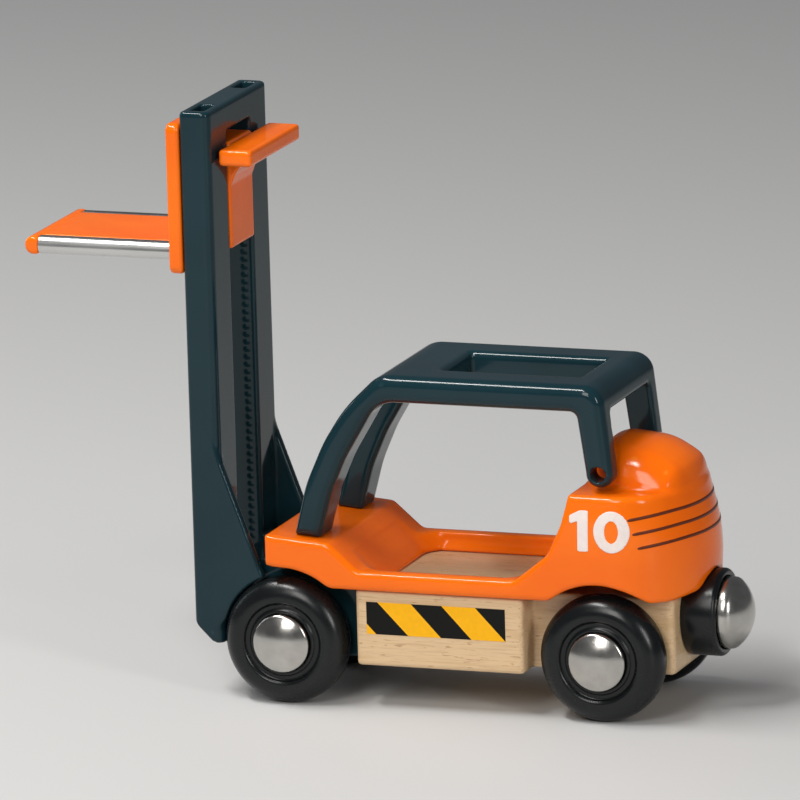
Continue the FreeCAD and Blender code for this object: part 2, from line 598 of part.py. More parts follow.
def make_cage():
    """The roll cage, hinged on the hood's stubs, with its front legs resting on the cowl."""
    body = new_body("roll_cage")
    side = new_sketch(body, "cage_side", "XZ")
    polygon(side, [
        ("body_front - 4.05", "cage_foot"), ("body_front - 6.25", "cage_top - 17.8"),
        ("body_front - 9.25", "cage_top - 11.1"), ("body_front - 12.65", "cage_top - 5.7"),
        ("body_front - 18.55", "cage_top"), ("pivot_x", "cage_top"),
        ("pivot_x - leg_radius", "pivot_z"), ("pivot_x - leg_radius", "pivot_z - leg_radius"),
        ("pivot_x + leg_radius", "pivot_z - leg_radius"), ("pivot_x + leg_radius", "pivot_z"),
        ("pivot_x + 3.65", "cage_top - 4.4"), ("body_front - 18.25", "cage_top - 4.4"),
        ("body_front - 15.65", "cage_top - 8.6"), ("body_front - 12.65", "cage_top - 13.6"),
        ("body_front - 10.25", "cage_top - 19.4"), ("body_front - 8.25", "cage_foot")])
    pad(body, side, "2 * cage_half")
    top, end_z, front = size("cage_top"), size("pivot_z") - size("leg_radius"), size("body_front")
    soften(body, "18", lambda edge, middle: runs_along(edge, Y_WAY) and middle.x > 0
           and end_z - 5 < middle.z < top - 5)
    soften(body, "4.5", lambda edge, middle: runs_along(edge, Y_WAY) and middle.x > -2
           and middle.z > top - 4.5)
    soften(body, "3.2", lambda edge, middle: abs(middle.z - top) < 0.01 and runs_along(edge, Y_WAY)
           and middle.x < -30)
    soften(body, "1.2", lambda edge, middle: abs(middle.z - top + 4.4) < 0.01
           and runs_along(edge, Y_WAY) and middle.x < -30)
    soften(body, "leg_radius - 0.05", lambda edge, middle: abs(middle.z - end_z) < 0.01
           and runs_along(edge, Y_WAY))
    half = size("cage_half")
    soften(body, "1.5", lambda edge, middle: abs(abs(middle.y) - half) < 0.01 and middle.z > 45
           and middle.z > top - 3 + 0.35 * max(0, -middle.x - 30))
    roof = new_sketch(body, "cage_roof_opening", "XY", "cage_top + 1")
    rectangle(roof, "pivot_x + 4.9", "body_front - 26.5", "-rail_inner", "rail_inner")
    pocket(body, roof, "12", both_ways=False)
    front_gap = new_sketch(body, "cage_front_gap", "XZ")
    polygon(front_gap, [
        ("body_front", "cage_foot - 1"), ("body_front", "cage_top + 1"),
        ("body_front - 16.75", "cage_top + 1"), ("body_front - 16.75", "cage_top - 2.8"),
        ("body_front - 19.75", "cage_top - 5.3"), ("body_front - 19.75", "cage_foot - 1")])
    pocket(body, front_gap, "2 * rail_inner")
    rear_gap = new_sketch(body, "cage_rear_gap", "XZ")
    rectangle(rear_gap, "pivot_x - 4", "pivot_x + 4", "pivot_z - leg_radius - 1", "cage_top - 4.4")
    pocket(body, rear_gap, "2 * leg_inner")
    holes = new_sketch(body, "cage_pivot_holes", "XZ")
    circle(holes, "pivot_x", "pivot_z", "stub_radius + running_gap")
    pocket(body, holes, "4 * cage_half")


# ---------------------------------------------------------------- coupler

def make_coupler():
    """The rear coupler: a black sleeve around a magnet that turns under a domed steel cap."""
    sleeve = new_body("coupler_sleeve")
    outline = new_sketch(sleeve, "sleeve_profile", "XZ")
    polygon(outline, [
        ("block_rear", "screw_radius + 0.05"), ("block_rear", "sleeve_radius"),
        ("sleeve_end", "sleeve_radius"), ("sleeve_end", "dome_radius + running_gap"),
        ("block_rear - 3", "dome_radius + running_gap"), ("block_rear - 3", "screw_radius + 0.05")])
    revolve(sleeve, outline, "H_Axis")
    outer = size("sleeve_radius")
    soften(sleeve, "0.7", lambda edge, middle: math.hypot(middle.y, middle.z) > outer - 0.1
           and not runs_along(edge, X_WAY))
    magnet = new_body("coupler_magnet")
    ring = new_sketch(magnet, "magnet_profile", "XZ")
    rectangle(ring, "block_rear - 6.5", "block_rear - 3.1", "screw_radius + running_gap", "magnet_radius")
    revolve(magnet, ring, "H_Axis")
    for piece in (sleeve, magnet):
        bind(piece, "Placement.Base.z", "coupler_z")
    skirt_start, tip = size("block_rear") - 3.4, size("coupler_tip")
    outer = domed_solid(size("dome_radius"), 2.75, skirt_start - tip)
    inner = domed_solid(size("magnet_radius"), 2.4, skirt_start - tip - 0.6)
    cap = new_feature("coupler_cap", outer.cut(inner))
    cap.Placement = FreeCAD.Placement(Vector(skirt_start, 0, size("coupler_z")), Rotation(Z_WAY, 90))


def domed_solid(radius, rise, height):
    """A round post along +Y whose far end is a shallow dome."""
    ball = (radius ** 2 + rise ** 2) / (2 * rise)
    post = Part.makeCylinder(radius, height, Vector(0, 0, 0), Y_WAY)
    return post.common(Part.makeSphere(ball, Vector(0, height - ball, 0)).fuse(
        Part.makeCylinder(radius, height - rise, Vector(0, 0, 0), Y_WAY)))


# ---------------------------------------------------------------- fasteners

def screw(head_at, along, length):
    """A countersunk screw whose flat head lies at a point and whose shank runs along a direction."""
    shank, head, sink = size("screw_radius"), size("screw_head"), size("screw_sink")
    body = Part.makeCylinder(shank, length, head_at, along)
    body = body.fuse(Part.makeCylinder(head, sink - 0.1, head_at, along)).removeSplitter()
    return body.cut(cross_recess(head_at, along))


def cross_recess(head_at, along):
    """A plus-shaped driver recess."""
    bars = []
    for wide, thin in ((2.2, 0.55), (0.55, 2.2)):
        bar = Part.makeBox(wide, thin, 1.2, Vector(-wide / 2, -thin / 2, -0.6))
        bar.Placement = FreeCAD.Placement(head_at, Rotation(Z_WAY, along))
        bars.append(bar)
    return bars[0].fuse(bars[1])


def make_screws():
    """All screws; the same kind of screw shares one node."""
    low, sink = size("base_z"), size("screw_sink")
    head_z = low + 0.1
    body_screws = [screw(Vector(x, side * BODY_SCREW_Y, head_z), Z_WAY, length)
                   for x, length in ((FRONT_SCREW_X, 17.0), (REAR_SCREW_X, 18.0)) for side in (-1, 1)]
    new_feature("body_screws", Part.makeCompound(body_screws))
    mast_screws = [screw(Vector(MAST_SCREW_X, side * MAST_SCREW_Y, head_z), Z_WAY, 9.5)
                   for side in (-1, 1)]
    new_feature("mast_screws", Part.makeCompound(mast_screws))
    face = size("mast_front") + size("slide_gap") + size("plate_depth")
    heights = (size("fork_top") + 4, size("plate_high") - 7)
    carriage_screws = [screw(Vector(face - 0.1, 0, z), Vector(-1, 0, 0), 6.0) for z in heights]
    new_feature("carriage_screws", Part.makeCompound(carriage_screws))
    start = size("block_rear") - 6.6
    coupler_screw = screw(Vector(start - sink + 0.1, 0, size("coupler_z")), X_WAY, 13.0)
    new_feature("coupler_screw", coupler_screw)


# ---------------------------------------------------------------- build, check and write

def check_document():
    for thing in DOC.Objects:
        if "Invalid" in thing.State or "Error" in thing.State:
            raise RuntimeError(f"{thing.Label} failed: {thing.State}")
    for node in NODES:
        if node.Shape.isNull() or not node.Shape.isValid() or not node.Shape.Solids:
            raise RuntimeError(f"{node.Label} has no valid solid")


def write_parts():
    os.makedirs("parts", exist_ok=True)
    for node in NODES:
        node.Shape.exportStep(f"parts/{node.Label}.step")
        box = node.Shape.BoundBox
        print(f"{node.Label:24s} {len(node.Shape.Solids)} solid(s) {node.Shape.Volume:9.1f} mm3  "
              f"x {box.XMin:7.2f} {box.XMax:7.2f}  y {box.YMin:7.2f} {box.YMax:7.2f}  "
              f"z {box.ZMin:7.2f} {box.ZMax:7.2f}")


make_block()
make_mast()
make_carriage()
make_rods()
make_handle()
make_click_spring()
make_cab_body()
make_cage()
make_coupler()
make_wheelsets()
make_screws()
DOC.recompute()
check_document()
write_parts()
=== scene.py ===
"""The looks of a toy forklift for a wooden railway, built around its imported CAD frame."""
import json
import math

import bpy
import numpy as np
from mathutils import Matrix, Vector


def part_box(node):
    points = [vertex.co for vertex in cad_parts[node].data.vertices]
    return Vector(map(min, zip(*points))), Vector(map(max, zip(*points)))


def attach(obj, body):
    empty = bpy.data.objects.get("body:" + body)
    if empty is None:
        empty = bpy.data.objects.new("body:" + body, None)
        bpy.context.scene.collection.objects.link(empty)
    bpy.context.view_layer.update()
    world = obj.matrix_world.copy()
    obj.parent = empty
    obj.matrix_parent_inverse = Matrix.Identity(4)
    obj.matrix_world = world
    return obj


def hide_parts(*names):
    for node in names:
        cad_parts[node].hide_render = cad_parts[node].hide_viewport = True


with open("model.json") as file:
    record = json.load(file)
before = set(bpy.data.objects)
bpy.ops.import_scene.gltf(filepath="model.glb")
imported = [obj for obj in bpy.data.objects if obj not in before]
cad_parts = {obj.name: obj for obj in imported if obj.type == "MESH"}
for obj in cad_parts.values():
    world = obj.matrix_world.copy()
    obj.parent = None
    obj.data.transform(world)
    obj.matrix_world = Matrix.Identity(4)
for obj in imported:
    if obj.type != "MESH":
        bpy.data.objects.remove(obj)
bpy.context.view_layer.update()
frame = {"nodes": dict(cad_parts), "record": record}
bpy.context.scene.view_settings.view_transform = "Standard"
MM = 0.001

# The pieces below are worked out in millimetres, with +X forward, +Y to the driver's left and +Z up. Only the
# floor and the lights are in metres.

FRONT_AXLE, REAR_AXLE, AXLE_HEIGHT = 14.75, -36.95, 10.0
AXLE_BORE = 1.55


def node_box(node):
    low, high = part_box(node)
    return low / MM, high / MM


# ---------------------------------------------------------------- outlines and fields

def rounded(corners, radii, step=0.35):
    """A closed outline whose corners are replaced by arcs; a radius of 0 keeps a corner sharp."""
    points = []
    count = len(corners)
    for i, (corner, radius) in enumerate(zip(corners, radii)):
        here = Vector(corner)
        before, after = Vector(corners[i - 1]) - here, Vector(corners[(i + 1) % count]) - here
        if radius == 0:
            points.append(tuple(here))
            continue
        half = before.angle(after) / 2
        back = radius / math.tan(half)
        start, end = here + before.normalized() * back, here + after.normalized() * back
        centre = here + (before.normalized() + after.normalized()).normalized() * radius / math.sin(half)
        first, turn = start - centre, (start - centre).angle_signed(end - centre)
        pieces = max(2, round(abs(turn) * radius / step))
        for k in range(pieces + 1):
            points.append(tuple(centre + Matrix.Rotation(-turn * k / pieces, 2) @ first))
    return points


def outline_distance(u, v, corners):
    """The signed distance of points (u, v) from a closed outline, below zero inside it."""
    nearest, sign = np.inf, 1.0
    for (au, av), (bu, bv) in zip(corners, corners[1:] + corners[:1]):
        eu, ev = bu - au, bv - av
        wu, wv = u - au, v - av
        along = np.clip((wu * eu + wv * ev) / (eu * eu + ev * ev + 1e-12), 0, 1)
        nearest = np.minimum(nearest, (wu - along * eu) ** 2 + (wv - along * ev) ** 2)
        left = eu * wv - ev * wu > 0
        crosses = ((av <= v) & (v < bv) & left) | ((bv <= v) & (v < av) & ~left)
        sign = np.where(crosses, -sign, sign)
    return sign * np.sqrt(nearest)


def both(a, b, radius):
    """Where two shapes overlap, with the edge between them rounded."""
    corner = np.hypot(np.maximum(a + radius, 0), np.maximum(b + radius, 0))
    return np.minimum(np.maximum(a, b), -radius) + corner


def either(a, b, radius):
    """Two shapes joined, with a fillet between them."""
    return -both(-a, -b, radius)


def slab(t, low, high):
    return np.abs(t - (low + high) / 2) - (high - low) / 2


def smooth_curve(t, knots):
    """A curve through (t, value) knots that doesn't overshoot them."""
    places, values = np.array(knots, float).T
    steps = np.diff(places)
    slopes = np.diff(values) / steps
    tangents = np.zeros(len(places))
    same_way = slopes[:-1] * slopes[1:] > 0
    means = 2 * slopes[:-1] * slopes[1:] / np.where(same_way, slopes[:-1] + slopes[1:], 1)
    tangents[1:-1] = np.where(same_way, means, 0)
    i = np.clip(np.searchsorted(places, t) - 1, 0, len(steps) - 1)
    s = np.clip((t - places[i]) / steps[i], 0, 1)
    rise = tangents[i] * steps[i] * s * (1 - s) ** 2 - tangents[i + 1] * steps[i] * s ** 2 * (1 - s)
    return values[i] * (1 + 2 * s) * (1 - s) ** 2 + values[i + 1] * s ** 2 * (3 - 2 * s) + rise


# ---------------------------------------------------------------- mesh makers

def make_object(name, points, faces, body, material, replaces=()):
    """A smooth mesh piece from points in millimetres."""
    mesh = bpy.data.meshes.new(name)
    faces = faces.tolist() if isinstance(faces, np.ndarray) else faces
    mesh.from_pydata((np.asarray(points) * MM).tolist(), [], faces)
    mesh.validate()
    mesh.shade_smooth()
    piece = bpy.data.objects.new(name, mesh)
    bpy.context.scene.collection.objects.link(piece)
    mesh.materials.append(material)
    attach(piece, body)
    if replaces:
        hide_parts(*replaces)
    return piece


def along_axis(axis, first, last):
    index = [slice(None)] * 3
    index[axis] = slice(first, last)
    return tuple(index)


def skin_of(field, low, high, step):
    """The surface where field(x, y, z) is zero, as points and quads, pulled onto the exact surface."""
    axes = [np.arange(a - 2 * step, b + 3 * step, step) for a, b in zip(low, high)]
    value = field(*np.meshgrid(*axes, indexing="ij", sparse=True))
    cells = tuple(n - 1 for n in value.shape)
    total, count = np.zeros((3,) + cells), np.zeros(cells)
    crossings = []
    for axis in range(3):
        a, b = value[along_axis(axis, None, -1)], value[along_axis(axis, 1, None)]
        cross = (a < 0) != (b < 0)
        where = np.argwhere(cross)
        spots = where.astype(float)
        start, end = a[cross], b[cross]
        spots[:, axis] += start / (start - end)
        others = [k for k in range(3) if k != axis]
        for du in (0, 1):
            for dv in (0, 1):
                cell = where.copy()
                cell[:, others[0]] -= du
                cell[:, others[1]] -= dv
                keep = (cell >= 0).all(1) & (cell < cells).all(1)
                flat = np.ravel_multi_index(cell[keep].T, cells)
                for k in range(3):
                    np.add.at(total[k].reshape(-1), flat, spots[keep, k])
                np.add.at(count.reshape(-1), flat, 1)
        crossings.append((axis, others, where, start < 0))
    used = count > 0
    number = np.full(cells, -1)
    number[used] = np.arange(used.sum())
    points = np.array([total[k][used] / count[used] * step + axes[k][0] for k in range(3)]).T
    quads = []
    for axis, others, where, outward in crossings:
        ring = []
        for du, dv in ((1, 1), (0, 1), (0, 0), (1, 0)):
            cell = where.copy()
            cell[:, others[0]] -= du
            cell[:, others[1]] -= dv
            ring.append(number[tuple(cell.T)])
        faces = np.array(ring).T
        flip = outward == (axis == 1)
        faces[flip] = faces[flip][:, ::-1]
        quads.append(faces)
    for _ in range(3):
        points = pull_to_surface(field, points)
    return points, np.concatenate(quads)


def pull_to_surface(field, points):
    """One Newton step towards the surface where the field is zero."""
    nudge = 0.02
    here = field(*points.T)
    slope = np.array([(field(*(points + nudge * way).T) - here) / nudge for way in np.eye(3)]).T
    size = np.maximum((slope ** 2).sum(1, keepdims=True), 0.05)
    return points - np.clip(here[:, None] * slope / size, -0.3, 0.3)


def lathe(profile, segments=96):
    """Turns a closed (radius, height) profile about +Y; radius 0 makes a pole."""
    points, rings = [], []
    for radius, height in profile:
        if radius < 1e-6:
            rings.append([len(points)] * segments)
            points.append((0, height, 0))
            continue
        rings.append(list(range(len(points), len(points) + segments)))
        for k in range(segments):
            turn = math.tau * k / segments
            points.append((radius * math.cos(turn), height, radius * math.sin(turn)))
    faces = []
    for ring, following in zip(rings, rings[1:] + rings[:1]):
        for k in range(segments):
            j = (k + 1) % segments
            face = []
            for index in (ring[k], ring[j], following[j], following[k]):
                if index not in face:
                    face.append(index)
            if len(face) > 2:
                faces.append(face)
    return np.array(points), faces


def facing(points, centre, outward):
    """Turns lathe points whose +Y is outward, and moves them to a centre."""
    turn = Vector((0, 1, 0)).rotation_difference(Vector(outward)).to_matrix()
    return points @ np.array(turn).T + np.array(centre)


# ---------------------------------------------------------------- materials

def new_material(name):
    material = bpy.data.materials.new(name)
    material.use_nodes = True
    return material, material.node_tree.nodes, material.node_tree.links


def texture_space(nodes, links, scale):
    """Object coordinates in units of 1/scale millimetres along each axis."""
    coordinates = nodes.new("ShaderNodeTexCoord")
    mapping = nodes.new("ShaderNodeMapping")
    mapping.inputs["Scale"].default_value = [s / MM for s in scale]
    links.new(coordinates.outputs["Object"], mapping.inputs["Vector"])
    return mapping.outputs["Vector"]


def noise(nodes, links, vector, detail=4.0, roughness=0.5, distortion=0.0):
    texture = nodes.new("ShaderNodeTexNoise")
    texture.inputs["Scale"].default_value = 1.0
    texture.inputs["Detail"].default_value = detail
    texture.inputs["Roughness"].default_value = roughness
    texture.inputs["Distortion"].default_value = distortion
    links.new(vector, texture.inputs["Vector"])
    return texture.outputs["Fac"]


def remap(nodes, links, value, from_low, from_high, to_low, to_high):
    node = nodes.new("ShaderNodeMapRange")
    for socket, number in zip(("From Min", "From Max", "To Min", "To Max"),
                              (from_low, from_high, to_low, to_high)):
        node.inputs[socket].default_value = number
    links.new(value, node.inputs["Value"])
    return node.outputs["Result"]


def ramp(nodes, links, value, stops):
    node = nodes.new("ShaderNodeValToRGB")
    elements = node.color_ramp.elements
    while len(elements) < len(stops):
        elements.new(0.5)
    for element, (place, colour) in zip(elements, stops):
        element.position = place
        element.color = (*colour, 1)
    links.new(value, node.inputs["Fac"])
    return node.outputs["Color"]


def blend_colours(nodes, links, share, first, second):
    node = nodes.new("ShaderNodeMix")
    node.data_type = "RGBA"
    for socket, value in ((node.inputs[0], share), (node.inputs[6], first), (node.inputs[7], second)):
        if isinstance(value, (tuple, list)):
            socket.default_value = (*value, 1)
        elif isinstance(value, float):
            socket.default_value = value
        else:
            links.new(value, socket)
    return node.outputs[2]


def bump(nodes, links, shader, height, distance):
    node = nodes.new("ShaderNodeBump")
    node.inputs["Strength"].default_value = 1.0
    node.inputs["Distance"].default_value = distance * MM
    links.new(height, node.inputs["Height"])
    links.new(node.outputs["Normal"], shader.inputs["Normal"])


def moulded_plastic(name, colour, darker, lighter, rough, gloss, subsurface=0.0):
    """Injection-moulded plastic: flow variation, handling marks in the gloss, and paler worn edges."""
    material, nodes, links = new_material(name)
    shader = nodes["Principled BSDF"]
    flow = noise(nodes, links, texture_space(nodes, links, (0.05, 0.09, 0.09)), 3.0)
    base = blend_colours(nodes, links, remap(nodes, links, flow, 0.35, 0.65, 0.0, 1.0), darker, colour)
    edge = nodes.new("ShaderNodeNewGeometry").outputs["Pointiness"]
    worn = remap(nodes, links, edge, 0.54, 0.64, 0.0, 0.3)
    links.new(blend_colours(nodes, links, worn, base, lighter), shader.inputs["Base Color"])
    marks = noise(nodes, links, texture_space(nodes, links, (0.25, 0.3, 0.18)), 6.0, 0.6, 0.4)
    links.new(remap(nodes, links, marks, 0.3, 0.75, rough * 0.8, rough * 1.35), shader.inputs["Roughness"])
    grain = noise(nodes, links, texture_space(nodes, links, (0.9, 0.9, 0.9)), 4.0, 0.55)
    bump(nodes, links, shader, grain, 0.008)
    shader.inputs["Specular IOR Level"].default_value = gloss
    if subsurface:
        shader.inputs["Subsurface Weight"].default_value = subsurface
        shader.inputs["Subsurface Radius"].default_value = (1.0, 0.25, 0.05)
        shader.inputs["Subsurface Scale"].default_value = 0.6 * MM
    return material


def beech():
    """Lacquered beech, grain along X, with the short dark flecks of its rays."""
    material, nodes, links = new_material("beech")
    shader = nodes["Principled BSDF"]
    broad = noise(nodes, links, texture_space(nodes, links, (0.02, 0.30, 0.30)), 3.0, 0.55, 1.2)
    pale, warm, deep = (0.69, 0.485, 0.275), (0.60, 0.395, 0.205), (0.33, 0.17, 0.07)
    base = ramp(nodes, links, broad, [(0.28, warm), (0.48, pale), (0.60, pale), (0.78, warm)])
    pores = noise(nodes, links, texture_space(nodes, links, (0.16, 4.2, 4.2)), 5.0, 0.7, 0.2)
    base = blend_colours(nodes, links, remap(nodes, links, pores, 0.50, 0.74, 0.0, 0.55), base, deep)
    rays = noise(nodes, links, texture_space(nodes, links, (0.42, 2.6, 2.6)), 2.0, 0.45)
    ray_share = remap(nodes, links, rays, 0.655, 0.70, 0.0, 0.6)
    links.new(blend_colours(nodes, links, ray_share, base, deep), shader.inputs["Base Color"])
    links.new(remap(nodes, links, pores, 0.3, 0.7, 0.34, 0.52), shader.inputs["Roughness"])
    bump(nodes, links, shader, pores, 0.03)
    shader.inputs["Coat Weight"].default_value = 0.3
    shader.inputs["Coat Roughness"].default_value = 0.22
    return material


def steel(name, colour, rough, dent=0.01, along=1.0):
    """Plated steel with a slightly uneven polish; a low value of along draws it out into streaks along X."""
    material, nodes, links = new_material(name)
    shader = nodes["Principled BSDF"]
    shader.inputs["Metallic"].default_value = 1.0
    haze = noise(nodes, links, texture_space(nodes, links, (0.35 * along, 0.35, 0.35)), 6.0, 0.65)
    dull = tuple(0.8 * c for c in colour)
    links.new(blend_colours(nodes, links, remap(nodes, links, haze, 0.35, 0.7, 0.0, 1.0), dull, colour),
              shader.inputs["Base Color"])
    links.new(remap(nodes, links, haze, 0.3, 0.7, rough * 0.8, rough * 1.4), shader.inputs["Roughness"])
    polish = noise(nodes, links, texture_space(nodes, links, (1.3 * along, 1.3, 1.3)), 5.0, 0.7)
    bump(nodes, links, shader, polish, dent)
    return material


def ink_and_painted_shade(name, colour, gloss=0.25):
    """Pad-printed ink, slightly uneven; also the painted shade that stands for the hood's engraved grooves.
    """
    rough = 0.4
    material, nodes, links = new_material(name)
    shader = nodes["Principled BSDF"]
    cover = noise(nodes, links, texture_space(nodes, links, (1.4, 1.4, 1.4)), 5.0, 0.6)
    thin = tuple(0.93 * c for c in colour)
    links.new(blend_colours(nodes, links, remap(nodes, links, cover, 0.35, 0.7, 0.0, 1.0), thin, colour),
              shader.inputs["Base Color"])
    links.new(remap(nodes, links, cover, 0.3, 0.7, rough * 0.92, rough * 1.1), shader.inputs["Roughness"])
    shader.inputs["Specular IOR Level"].default_value = gloss
    bump(nodes, links, shader, cover, 0.002)
    return material


ORANGE = moulded_plastic("orange_plastic", (0.94, 0.168, 0.003), (0.88, 0.140, 0.002),
                         (1.0, 0.30, 0.03), 0.13, 0.32, subsurface=0.08)
SLATE = moulded_plastic("slate_plastic", (0.0075, 0.029, 0.038), (0.006, 0.024, 0.032),
                        (0.03, 0.065, 0.08), 0.11, 0.27)
BLACK = moulded_plastic("black_plastic", (0.0048, 0.0062, 0.0068), (0.0038, 0.0048, 0.0054),
                        (0.014, 0.016, 0.018), 0.25, 0.36)
BEECH = beech()
BRIGHT = steel("bright_steel", (0.55, 0.537, 0.505), 0.19)
ROD_STEEL = steel("rod_steel", (0.62, 0.62, 0.61), 0.24, 0.002, 0.06)
DULL = steel("dull_steel", (0.50, 0.50, 0.49), 0.38)
MAGNET = steel("magnet_black", (0.07, 0.07, 0.07), 0.6)
INK_BLACK = ink_and_painted_shade("ink_black", (0.007, 0.007, 0.0065), 0.14)
INK_YELLOW = ink_and_painted_shade("ink_yellow", (0.95, 0.46, 0.003))
INK_WHITE = ink_and_painted_shade("ink_white", (0.84, 0.74, 0.70))
# Painted shade: this dark colour stands for the shade inside the hood's engraved grooves.
GROOVE_SHADE = ink_and_painted_shade("painted_groove_shade", (0.12, 0.020, 0.004))


# ---------------------------------------------------------------- wheels, caps and coupler

AXLE_HOLE, CAP_SKIRT = 1.5, 1.4
SLEEVE_BORE, SLEEVE_FLOOR = 5.66, 3
COUPLER_CAP_RADIUS, COUPLER_CAP_RISE = 5.6, 2.75


def dome_arc(radius, rise, top, reach=1.0):
    """Profile points over a dome with this rim radius and rise, from its pole at height top."""
    ball = (radius ** 2 + rise ** 2) / (2 * rise)
    return [(ball * math.sin(t), top - ball + ball * math.cos(t))
            for t in np.linspace(0, math.asin(radius / ball) * reach, 14)]


def tyre_profile(radius, width, cap):
    """A tyre with a shallow ring round its hub cap; its outer face is at height 0."""
    inner_face, ring, seat = 0.45 - width, -0.6, -1.1
    corners = [(AXLE_HOLE, inner_face), (radius, inner_face), (radius, -0.1), (cap + 1.8, 0),
               (cap + 1.45, ring), (cap + 0.75, ring), (cap + 0.55, -0.3), (cap + 0.02, -0.3),
               (cap + 0.02, seat), (AXLE_HOLE, seat)]
    return rounded(corners, [0.1, 1.4, 3.0, 0.7, 0.3, 0.3, 0.25, 0.15, 0.05, 0.05], 0.25)


def make_wheel(end, side, outward):
    """A tyre and its hub cap, with their outer sides facing outward, which is 1 for left and -1 for right."""
    low, high = node_box(f"wheel_{end}_{side}")
    cap_low, cap_high = node_box(f"hub_cap_{end}_{side}")
    cap, rise = (cap_high.z - cap_low.z) / 2, cap_high.y - cap_low.y
    middle_x, middle_z = (low.x + high.x) / 2, (low.z + high.z) / 2
    face = outward * max(abs(low.y), abs(high.y))
    points, faces = lathe(tyre_profile((high.z - low.z) / 2, high.y - low.y, cap))
    make_object(f"tyre_{end}_{side}", facing(points, (middle_x, face, middle_z), (0, outward, 0)), faces,
                f"{end}_wheelset", BLACK, [f"wheel_{end}_{side}"])
    profile = dome_arc(cap, rise - CAP_SKIRT, rise) + [(cap, CAP_SKIRT - 0.2), (cap, 0), (0, 0)]
    points, faces = lathe(profile)
    base = outward * min(abs(cap_low.y), abs(cap_high.y))
    make_object(f"cap_{end}_{side}", facing(points, (middle_x, base, middle_z), (0, outward, 0)), faces,
                f"{end}_wheelset", BRIGHT, [f"hub_cap_{end}_{side}"])


def make_wheels():
    for end in ("front", "rear"):
        for side, outward in (("left", 1), ("right", -1)):
            make_wheel(end, side, outward)


def make_coupler():
    low, high = node_box("coupler_sleeve")
    height, radius, length = (low.z + high.z) / 2, (high.z - low.z) / 2, high.x - low.x
    corners = [(0, 0), (radius, 0), (radius, length), (SLEEVE_BORE, length), (SLEEVE_BORE, SLEEVE_FLOOR),
               (0, SLEEVE_FLOOR)]
    points, faces = lathe(rounded(corners, [0, 0.4, 0.7, 0.3, 0.1, 0], 0.15))
    make_object("coupler_cup", facing(points, (high.x, 0, height), (-1, 0, 0)), faces, "chassis",
                BLACK, ["coupler_sleeve"])
    low, high = node_box("coupler_cap")
    length, radius = high.x - low.x, COUPLER_CAP_RADIUS
    rim = length - COUPLER_CAP_RISE
    profile = dome_arc(radius, COUPLER_CAP_RISE, length, 0.94)
    profile += [(radius - 0.05, rim - 0.1), (radius, rim - 0.5), (radius, 0)]
    profile += [(5, 0), (5, length - 3.5), (0, length - 1)]
    points, faces = lathe(profile)
    make_object("coupler_dome", facing(points, (high.x, 0, height), (-1, 0, 0)), faces, "coupler",
                BRIGHT, ["coupler_cap"])


# ---------------------------------------------------------------- orange body

HOOD_MID = -39.25
SILL_SIDE = [(17.25, 27.1), (6.65, 26.2), (1.85, 22.0), (-23.6, 22.0), (-29.1, 26.4), (-31.3, 31.2),
             (-32.5, 35.9), (-60.0, 35.9), (-60.0, 21.6), (-47.5, 19.05), (8.0, 19.05), (17.25, 22.3)]
SILL_RADII = [0.3, 1.5, 2.0, 2.5, 4.0, 8.0, 0, 0, 0, 0, 0, 0]
WELL, WELL_HALF = [(4.0, 24.0), (-1.6, 18.0), (-21.3, 18.0), (-25.5, 24.0)], 13.3
WALL, ARCH_RADIUS = 2.0, 12.0
COUPLER_FRONT, COUPLER_HEIGHT, COUPLER_ROOM = -46.5, 15.1, 6.95
DOME_SIDE = [(-32.6, 33.0), (-32.6, 35.9), (-35.2, 43.1), (-43.2, 42.3), (-47.5, 39.8), (-50.9, 35.2),
             (-50.9, 33.0)]
DOME_RADII = [0, 3.0, 3.0, 9.0, 8.0, 0.5, 0]
HOOD_DEPTH = [(19, 12.1), (24, 12.35), (28, 12.1), (31, 11.5), (34.2, 10.6), (36.4, 10.0), (40, 9.4)]
HOOD_HALF = [(19, 15.5), (27, 15.5), (31, 15.35), (36.4, 14.9)]


def rear_round(x, y, half, depth):
    """A plan that is straight at the sides and half an ellipse at the rear."""
    back = np.maximum(HOOD_MID - x, 0)
    near = np.sqrt((back / depth) ** 2 + (y / half) ** 2)
    slope = np.sqrt((back / depth ** 2) ** 2 + (y / half ** 2) ** 2)
    return near * (near - 1) / np.maximum(slope, 1e-6)


def cab_field(x, y, z):
    side = outline_distance(x, z, rounded(SILL_SIDE, SILL_RADII))
    tub = both(side, rear_round(x, y, smooth_curve(z, HOOD_HALF), smooth_curve(z, HOOD_DEPTH)), 0.8)
    crowned = z + y ** 2 / 40
    dome = outline_distance(x, crowned, rounded(DOME_SIDE, DOME_RADII, 0.8))
    dome_half = np.interp(-x, [40, 50], [9.4, 10.2])
    dome = both(dome, np.abs(y) - dome_half, 4.5)
    dome = both(dome, rear_round(x, y, 14.9, 10.0), 1.2)
    solid = either(tub, dome, 0.7)
    well = both(outline_distance(x, z, WELL), np.abs(y) - WELL_HALF, 4.5)
    solid = both(solid, -well, 0.7)
    hollow = np.maximum(np.maximum(solid, tub) + WALL, WALL - well)
    solid = both(solid, -hollow, 0.3)
    for axle in (FRONT_AXLE, REAR_AXLE):
        solid = both(solid, ARCH_RADIUS - np.hypot(x - axle, z - AXLE_HEIGHT), 0.5)
    coupler = np.maximum(np.hypot(y, z - COUPLER_HEIGHT) - COUPLER_ROOM, x - COUPLER_FRONT)
    return both(solid, -coupler, 0.5)


def make_cab():
    low, high = node_box("cab_body")
    points, faces = skin_of(cab_field, low, high, 0.4)
    make_object("body_shell", points, faces, "chassis", ORANGE, ["cab_body"])


# ---------------------------------------------------------------- roll cage

